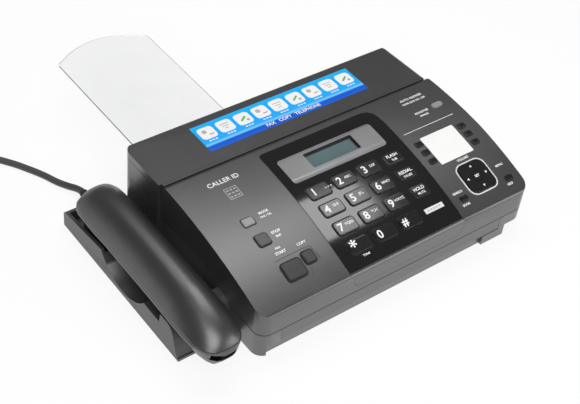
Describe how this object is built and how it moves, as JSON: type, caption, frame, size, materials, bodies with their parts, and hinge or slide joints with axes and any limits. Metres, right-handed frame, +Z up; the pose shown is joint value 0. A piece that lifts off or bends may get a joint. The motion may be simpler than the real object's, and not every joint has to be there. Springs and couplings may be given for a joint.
{
  "type": "fax machine",
  "caption": "Desktop fax machine with a corded handset on a side cradle, hinged roll cover and operation panel, keypad, display, thermal paper roll, clear rear tray and mains lead",
  "frame": {"origin": "middle of the footprint of the machine with its handset and paper tray, on the surface it stands on; the mains lead isn't counted", "axes": "+X to the user's right, +Y to the back, +Z up; the front face looks along -Y"},
  "size_m": [0.4345, 0.474, 0.077],
  "materials": {
    "casing": "fine-grained moulded plastic",
    "panel": "fine-grained moulded plastic",
    "cradle": "fine-grained moulded plastic",
    "gloss_black": "polished",
    "silver": "fine silver paint on plastic",
    "display": "clear window over a grey-green display",
    "key_grey": "satin",
    "key_light": "satin",
    "handset": "satin",
    "rubber": "matt",
    "card": "matt card",
    "paper": "smooth thermal paper",
    "board": "lacquered circuit board",
    "inner_plastic": "matt",
    "gear_white": "satin",
    "roller": "ground rubber",
    "brass": "bare",
    "steel": "bare",
    "aluminium": "extruded",
    "clear": "clear, polished",
    "cord": "satin"
  },
  "bodies": {
    "base": {"base_housing": "casing", "front_strip": "panel", "handset_cradle": "cradle", "rubber_feet": "rubber", "drive_motor": "steel", "thermal_head": "aluminium", "image_sensor": "inner_plastic", "main_board": "board", "lead_relief": "rubber", "power_lead": "cord", "lead_coil": "cord", "power_plug": "cord"},
    "roll_cover": {"rear_cover": "casing"},
    "release_latch": {"cover_latch": "panel"},
    "operation_panel": {"front_cover": "panel", "centre_panel": "gloss_black", "display_bezel": "silver", "display_module": "display", "index_card": "card", "panel_board": "board"},
    "handset": {"handset_back": "handset", "handset_face": "handset", "handset_caps": "inner_plastic"},
    "hook": {"hook_plunger": "inner_plastic"},
    "roll": {"paper_roll": "paper"},
    "platen": {"platen_roller": "roller", "platen_gear": "gear_white"},
    "feeder": {"feed_roller": "roller"},
    "pinion": {"motor_pinion": "brass"},
    "tray": {"paper_tray": "clear"},
    "key_1_cap": {"key_1": "key_grey"},
    "key_2_cap": {"key_2": "key_grey"},
    "key_3_cap": {"key_3": "key_grey"},
    "key_4_cap": {"key_4": "key_grey"},
    "key_5_cap": {"key_5": "key_grey"},
    "key_6_cap": {"key_6": "key_grey"},
    "key_7_cap": {"key_7": "key_grey"},
    "key_8_cap": {"key_8": "key_grey"},
    "key_9_cap": {"key_9": "key_grey"},
    "key_star_cap": {"key_star": "key_grey"},
    "key_0_cap": {"key_0": "key_grey"},
    "key_hash_cap": {"key_hash": "key_grey"},
    "function_key_1_cap": {"function_key_1": "key_grey"},
    "function_key_2_cap": {"function_key_2": "key_grey"},
    "function_key_3_cap": {"function_key_3": "key_grey"},
    "mode_key_cap": {"mode_key": "key_light"},
    "stop_key_cap": {"stop_key": "key_grey"},
    "start_key_cap": {"start_key": "key_grey"},
    "copy_key_cap": {"copy_key": "key_grey"},
    "volume_key_cap": {"volume_key": "key_light"},
    "navigation_pad_cap": {"navigation_pad": "key_grey"},
    "set_key_cap": {"set_key": "key_grey"},
    "left_pad_key_cap": {"left_pad_key": "key_grey"},
    "right_pad_key_cap": {"right_pad_key": "key_grey"},
    "station_key_1_cap": {"station_key_1": "key_grey"},
    "station_key_2_cap": {"station_key_2": "key_grey"},
    "station_key_3_cap": {"station_key_3": "key_grey"},
    "station_key_4_cap": {"station_key_4": "key_grey"},
    "station_key_5_cap": {"station_key_5": "key_grey"},
    "station_key_6_cap": {"station_key_6": "key_grey"}
  },
  "joints": [
    {"name": "roll_cover_hinge", "type": "hinge", "parent": "base", "child": "roll_cover", "pos_m": [0.0285, 0.0185, 0.066], "axis": [-1, 0, 0], "range_deg": [0, 75]},
    {"name": "panel_hinge", "type": "hinge", "parent": "base", "child": "operation_panel", "pos_m": [0.0285, -0.0417, 0.07028], "axis": [-1, 0, 0], "range_deg": [0, 55]},
    {"name": "latch_slide", "type": "slide", "parent": "base", "child": "release_latch", "axis": [1, 0, 0], "range_m": [0, 0.002], "stiffness_N_per_m": 300},
    {"name": "handset_lift", "type": "slide", "parent": "base", "child": "handset", "axis": [0, 0, 1], "range_m": [0, 0.12]},
    {"name": "hook_slide", "type": "slide", "parent": "base", "child": "hook", "axis": [0, 0, -1], "range_m": [0, 0.003], "stiffness_N_per_m": 200},
    {"name": "roll_spin", "type": "hinge", "parent": "base", "child": "roll", "pos_m": [0.0285, -0.0065, 0.037], "axis": [1, 0, 0], "continuous": true},
    {"name": "platen_spin", "type": "hinge", "parent": "base", "child": "platen", "pos_m": [0.0285, -0.046, 0.044], "axis": [1, 0, 0], "continuous": true},
    {"name": "feeder_spin", "type": "hinge", "parent": "base", "child": "feeder", "pos_m": [0.0285, -0.076, 0.044], "axis": [1, 0, 0], "continuous": true},
    {"name": "pinion_spin", "type": "hinge", "parent": "base", "child": "pinion", "pos_m": [-0.0885, -0.046, 0.023], "axis": [1, 0, 0], "continuous": true},
    {"name": "tray_slide", "type": "slide", "parent": "base", "child": "tray", "axis": [0, 1, 0], "range_m": [0, 0.008]},
    {"name": "key_1_press", "type": "slide", "parent": "operation_panel", "child": "key_1_cap", "axis": [0, 0.18, -0.9837], "range_m": [0, 0.0011], "stiffness_N_per_m": 250},
    {"name": "key_2_press", "type": "slide", "parent": "operation_panel", "child": "key_2_cap", "axis": [0, 0.18, -0.9837], "range_m": [0, 0.0011], "stiffness_N_per_m": 250},
    {"name": "key_3_press", "type": "slide", "parent": "operation_panel", "child": "key_3_cap", "axis": [0, 0.18, -0.9837], "range_m": [0, 0.0011], "stiffness_N_per_m": 250},
    {"name": "key_4_press", "type": "slide", "parent": "operation_panel", "child": "key_4_cap", "axis": [0, 0.2252, -0.9743], "range_m": [0, 0.0011], "stiffness_N_per_m": 250},
    {"name": "key_5_press", "type": "slide", "parent": "operation_panel", "child": "key_5_cap", "axis": [0, 0.2252, -0.9743], "range_m": [0, 0.0011], "stiffness_N_per_m": 250},
    {"name": "key_6_press", "type": "slide", "parent": "operation_panel", "child": "key_6_cap", "axis": [0, 0.2252, -0.9743], "range_m": [0, 0.0011], "stiffness_N_per_m": 250},
    {"name": "key_7_press", "type": "slide", "parent": "operation_panel", "child": "key_7_cap", "axis": [0, 0.2705, -0.9627], "range_m": [0, 0.0011], "stiffness_N_per_m": 250},
    {"name": "key_8_press", "type": "slide", "parent": "operation_panel", "child": "key_8_cap", "axis": [0, 0.2705, -0.9627], "range_m": [0, 0.0011], "stiffness_N_per_m": 250},
    {"name": "key_9_press", "type": "slide", "parent": "operation_panel", "child": "key_9_cap", "axis": [0, 0.2705, -0.9627], "range_m": [0, 0.0011], "stiffness_N_per_m": 250},
    {"name": "key_star_press", "type": "slide", "parent": "operation_panel", "child": "key_star_cap", "axis": [0, 0.3158, -0.9488], "range_m": [0, 0.0011], "stiffness_N_per_m": 250},
    {"name": "key_0_press", "type": "slide", "parent": "operation_panel", "child": "key_0_cap", "axis": [0, 0.3158, -0.9488], "range_m": [0, 0.0011], "stiffness_N_per_m": 250},
    {"name": "key_hash_press", "type": "slide", "parent": "operation_panel", "child": "key_hash_cap", "axis": [0, 0.3158, -0.9488], "range_m": [0, 0.0011], "stiffness_N_per_m": 250},
    {"name": "function_key_1_press", "type": "slide", "parent": "operation_panel", "child": "function_key_1_cap", "axis": [0, 0.18, -0.9837], "range_m": [0, 0.0011], "stiffness_N_per_m": 250},
    {"name": "function_key_2_press", "type": "slide", "parent": "operation_panel", "child": "function_key_2_cap", "axis": [0, 0.2252, -0.9743], "range_m": [0, 0.0011], "stiffness_N_per_m": 250},
    {"name": "function_key_3_press", "type": "slide", "parent": "operation_panel", "child": "function_key_3_cap", "axis": [0, 0.2705, -0.9627], "range_m": [0, 0.0011], "stiffness_N_per_m": 250},
    {"name": "mode_key_press", "type": "slide", "parent": "operation_panel", "child": "mode_key_cap", "axis": [0, 0.1783, -0.984], "range_m": [0, 0.0011], "stiffness_N_per_m": 250},
    {"name": "stop_key_press", "type": "slide", "parent": "operation_panel", "child": "stop_key_cap", "axis": [0, 0.225, -0.9744], "range_m": [0, 0.0011], "stiffness_N_per_m": 250},
    {"name": "start_key_press", "type": "slide", "parent": "operation_panel", "child": "start_key_cap", "axis": [0, 0.3033, -0.9529], "range_m": [0, 0.0011], "stiffness_N_per_m": 250},
    {"name": "copy_key_press", "type": "slide", "parent": "operation_panel", "child": "copy_key_cap", "axis": [0, 0.2932, -0.9561], "range_m": [0, 0.0011], "stiffness_N_per_m": 250},
    {"name": "volume_key_press", "type": "slide", "parent": "operation_panel", "child": "volume_key_cap", "axis": [0, 0.1035, -0.9946], "range_m": [0, 0.0011], "stiffness_N_per_m": 250},
    {"name": "navigation_pad_press", "type": "slide", "parent": "operation_panel", "child": "navigation_pad_cap", "axis": [0, 0.2936, -0.9559], "range_m": [0, 0.0011], "stiffness_N_per_m": 250},
    {"name": "set_key_press", "type": "slide", "parent": "operation_panel", "child": "set_key_cap", "axis": [0, 0.2936, -0.9559], "range_m": [0, 0.0011], "stiffness_N_per_m": 250},
    {"name": "left_pad_key_press", "type": "slide", "parent": "operation_panel", "child": "left_pad_key_cap", "axis": [0, 0.3231, -0.9464], "range_m": [0, 0.0011], "stiffness_N_per_m": 250},
    {"name": "right_pad_key_press", "type": "slide", "parent": "operation_panel", "child": "right_pad_key_cap", "axis": [0, 0.3255, -0.9456], "range_m": [0, 0.0011], "stiffness_N_per_m": 250},
    {"name": "station_key_1_press", "type": "slide", "parent": "operation_panel", "child": "station_key_1_cap", "axis": [0, 0.1764, -0.9843], "range_m": [0, 0.0011], "stiffness_N_per_m": 250},
    {"name": "station_key_2_press", "type": "slide", "parent": "operation_panel", "child": "station_key_2_cap", "axis": [0, 0.2, -0.9798], "range_m": [0, 0.0011], "stiffness_N_per_m": 250},
    {"name": "station_key_3_press", "type": "slide", "parent": "operation_panel", "child": "station_key_3_cap", "axis": [0, 0.2236, -0.9747], "range_m": [0, 0.0011], "stiffness_N_per_m": 250},
    {"name": "station_key_4_press", "type": "slide", "parent": "operation_panel", "child": "station_key_4_cap", "axis": [0, 0.1764, -0.9843], "range_m": [0, 0.0011], "stiffness_N_per_m": 250},
    {"name": "station_key_5_press", "type": "slide", "parent": "operation_panel", "child": "station_key_5_cap", "axis": [0, 0.2, -0.9798], "range_m": [0, 0.0011], "stiffness_N_per_m": 250},
    {"name": "station_key_6_press", "type": "slide", "parent": "operation_panel", "child": "station_key_6_cap", "axis": [0, 0.2236, -0.9747], "range_m": [0, 0.0011], "stiffness_N_per_m": 250}
  ],
  "couplings": [
    {"joint": "feeder_spin", "follows": "platen_spin", "ratio": -1},
    {"joint": "pinion_spin", "follows": "platen_spin", "ratio": -2.5}
  ]
}
